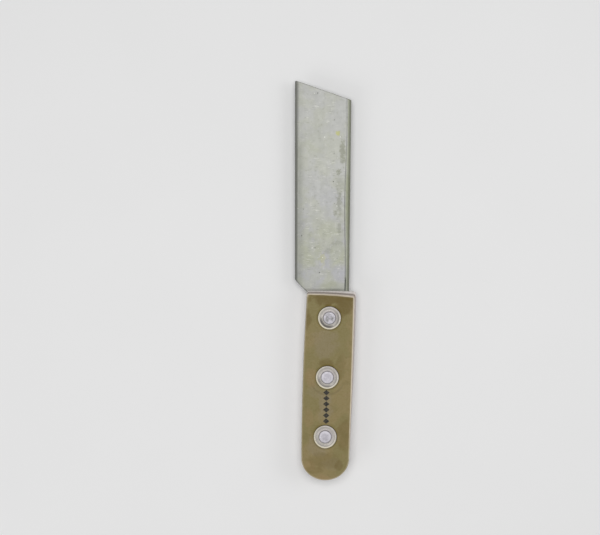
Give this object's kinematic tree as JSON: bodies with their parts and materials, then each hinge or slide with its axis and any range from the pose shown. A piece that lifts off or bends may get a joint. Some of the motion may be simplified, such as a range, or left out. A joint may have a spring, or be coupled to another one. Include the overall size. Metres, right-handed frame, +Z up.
{
  "type": "hacking knife",
  "caption": "Glazier's hacking knife: straight wedge-ground steel blade with a thick striking back and slanted tip, full tang between riveted leather scales.",
  "frame": {"origin": "on the ground under the middle of the knife, which lies flat on its lower scale", "axes": "+Y along the blade towards the tip, +X towards the striking back, +Z up through the thickness of the handle"},
  "size_m": [0.0324, 0.2032, 0.0148],
  "materials": {
    "blade_steel": "dull forged and ground steel, mottled",
    "handle_leather": "olive brown waxed sole leather, semi-gloss, paler cut edges",
    "pin_steel": "hammered bright steel",
    "washer_steel": "pressed bright steel"
  },
  "bodies": {
    "root": {"blade": "blade_steel", "upper_leather_scale": "handle_leather", "lower_leather_scale": "handle_leather", "front_pin": "pin_steel", "middle_pin": "pin_steel", "rear_pin": "pin_steel", "front_upper_washer": "washer_steel", "front_lower_washer": "washer_steel", "middle_upper_washer": "washer_steel", "middle_lower_washer": "washer_steel", "rear_upper_washer": "washer_steel", "rear_lower_washer": "washer_steel"}
  },
  "joints": []
}
